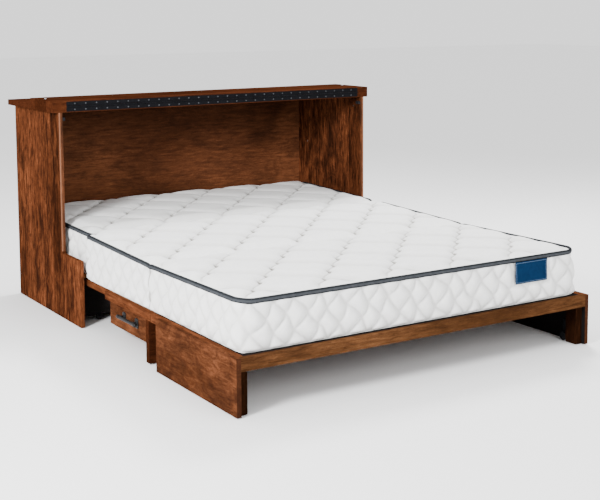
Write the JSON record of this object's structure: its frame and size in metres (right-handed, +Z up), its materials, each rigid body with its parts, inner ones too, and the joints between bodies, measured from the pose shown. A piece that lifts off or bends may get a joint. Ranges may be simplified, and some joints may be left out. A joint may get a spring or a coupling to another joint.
{
  "type": "cabinet bed",
  "caption": "Wall cabinet bed opened out: shallow cabinet with a flip-back lid, rolling base with side drawers, folding foot section on legs, and a three-panel quilted mattress.",
  "frame": {"origin": "on the floor below the middle of the opened bed's length and width", "axes": "+X to the bed's right seen from the foot, +Y from the foot towards the wall, +Z up"},
  "size_m": [1.676, 2.161, 0.9645],
  "materials": {
    "cabinet_wood": "warm brown stained wood with streaky grain, satin lacquer",
    "back_wood": "darker brown, grain level",
    "lid_wood": "reddish brown, satin",
    "deck_wood": "brown, satin",
    "rail_wood": "golden brown, satin",
    "base_wood": "warm brown stained wood with streaky grain, satin lacquer",
    "tray_wood": "pale plywood",
    "black_wood": "black stained",
    "black_iron": "matt black",
    "black_plastic": "matt",
    "wheel_black": "matt",
    "bright_steel": "satin",
    "quilt": "white quilted cloth"
  },
  "bodies": {
    "cabinet": {"side_panel_left": "cabinet_wood", "side_panel_right": "cabinet_wood", "back_panel": "back_wood", "top_board": "lid_wood", "head_deck": "deck_wood", "corner_cleats": "cabinet_wood", "lid_catches": "black_plastic", "deck_glides": "black_plastic", "screw_heads": "bright_steel", "lid_hinge_leaf_fixed": "black_iron", "lid_hinge_pin": "black_iron", "mattress_head": "quilt"},
    "lid": {"lid_board": "lid_wood", "lid_hinge_leaf_moving": "black_iron", "lid_studs": "bright_steel"},
    "base": {"base_deck_rear": "deck_wood", "base_deck_front": "deck_wood", "base_rear_rails": "rail_wood", "base_side_rails": "rail_wood", "base_rear_board": "black_wood", "base_stringers": "black_wood", "base_partition": "deck_wood", "base_front_board": "base_wood", "base_floor": "deck_wood", "base_divider": "deck_wood", "caster_fork_rear_left": "black_plastic", "caster_fork_rear_right": "black_plastic", "caster_fork_front_left": "black_plastic", "caster_fork_front_right": "black_plastic", "drawer_tracks": "bright_steel", "foot_hinge_leaf_fixed": "black_iron", "foot_hinge_pin": "black_iron", "mattress_middle": "quilt"},
    "foot_section": {"foot_deck": "deck_wood", "foot_side_rails": "rail_wood", "foot_rail": "rail_wood", "leg_board_left": "base_wood", "leg_board_right": "base_wood", "leg_posts": "base_wood", "foot_wheel_plate_left": "bright_steel", "foot_wheel_plate_right": "bright_steel", "foot_hinge_leaf_moving": "black_iron"},
    "foot_mattress": {"mattress_foot": "quilt"},
    "drawer_left": {"drawer_front_left": "base_wood", "drawer_tray_left": "tray_wood", "drawer_slides_left": "bright_steel", "drawer_handle_left": "black_iron"},
    "wheel_rear_left": {"caster_wheel_rear_left": "wheel_black"},
    "wheel_front_left": {"caster_wheel_front_left": "wheel_black"},
    "foot_wheel_left": {"foot_wheel_left": "wheel_black"},
    "drawer_right": {"drawer_front_right": "base_wood", "drawer_tray_right": "tray_wood", "drawer_slides_right": "bright_steel", "drawer_handle_right": "black_iron"},
    "wheel_rear_right": {"caster_wheel_rear_right": "wheel_black"},
    "wheel_front_right": {"caster_wheel_front_right": "wheel_black"},
    "foot_wheel_right": {"foot_wheel_right": "wheel_black"}
  },
  "joints": [
    {"name": "lid_flip", "type": "hinge", "parent": "cabinet", "child": "lid", "pos_m": [0, 0.4835, 0.937], "axis": [-1, 0, 0], "range_deg": [-180, 0]},
    {"name": "base_roll", "type": "slide", "parent": "cabinet", "child": "base", "axis": [0, -1, 0], "range_m": [-0.641, 0], "deforming": ["mattress_head", "mattress_middle"]},
    {"name": "foot_fold", "type": "hinge", "parent": "base", "child": "foot_section", "pos_m": [0, -0.3765, 0.202], "axis": [1, 0, 0], "range_deg": [-90, 0]},
    {"name": "mattress_fold", "type": "hinge", "parent": "base", "child": "foot_mattress", "pos_m": [0, -0.3365, 0.4], "axis": [1, 0, 0], "range_deg": [-180, 0]},
    {"name": "drawer_slide_left", "type": "slide", "parent": "base", "child": "drawer_left", "axis": [-1, 0, 0], "range_m": [0, 0.38]},
    {"name": "wheel_spin_rear_left", "type": "hinge", "parent": "base", "child": "wheel_rear_left", "pos_m": [-0.6885, 0.3825, 0.011], "axis": [1, 0, 0], "continuous": true},
    {"name": "wheel_spin_front_left", "type": "hinge", "parent": "base", "child": "wheel_front_left", "pos_m": [-0.6885, -0.2935, 0.02], "axis": [1, 0, 0], "continuous": true},
    {"name": "foot_wheel_spin_left", "type": "hinge", "parent": "foot_section", "child": "foot_wheel_left", "pos_m": [-0.781, -0.9815, 0.017], "axis": [1, 0, 0], "continuous": true},
    {"name": "drawer_slide_right", "type": "slide", "parent": "base", "child": "drawer_right", "axis": [1, 0, 0], "range_m": [0, 0.38]},
    {"name": "wheel_spin_rear_right", "type": "hinge", "parent": "base", "child": "wheel_rear_right", "pos_m": [0.6885, 0.3825, 0.011], "axis": [1, 0, 0], "continuous": true},
    {"name": "wheel_spin_front_right", "type": "hinge", "parent": "base", "child": "wheel_front_right", "pos_m": [0.6885, -0.2935, 0.02], "axis": [1, 0, 0], "continuous": true},
    {"name": "foot_wheel_spin_right", "type": "hinge", "parent": "foot_section", "child": "foot_wheel_right", "pos_m": [0.781, -0.9815, 0.017], "axis": [1, 0, 0], "continuous": true}
  ],
  "couplings": [
    {"joint": "mattress_fold", "follows": "foot_fold", "ratio": 2}
  ]
}
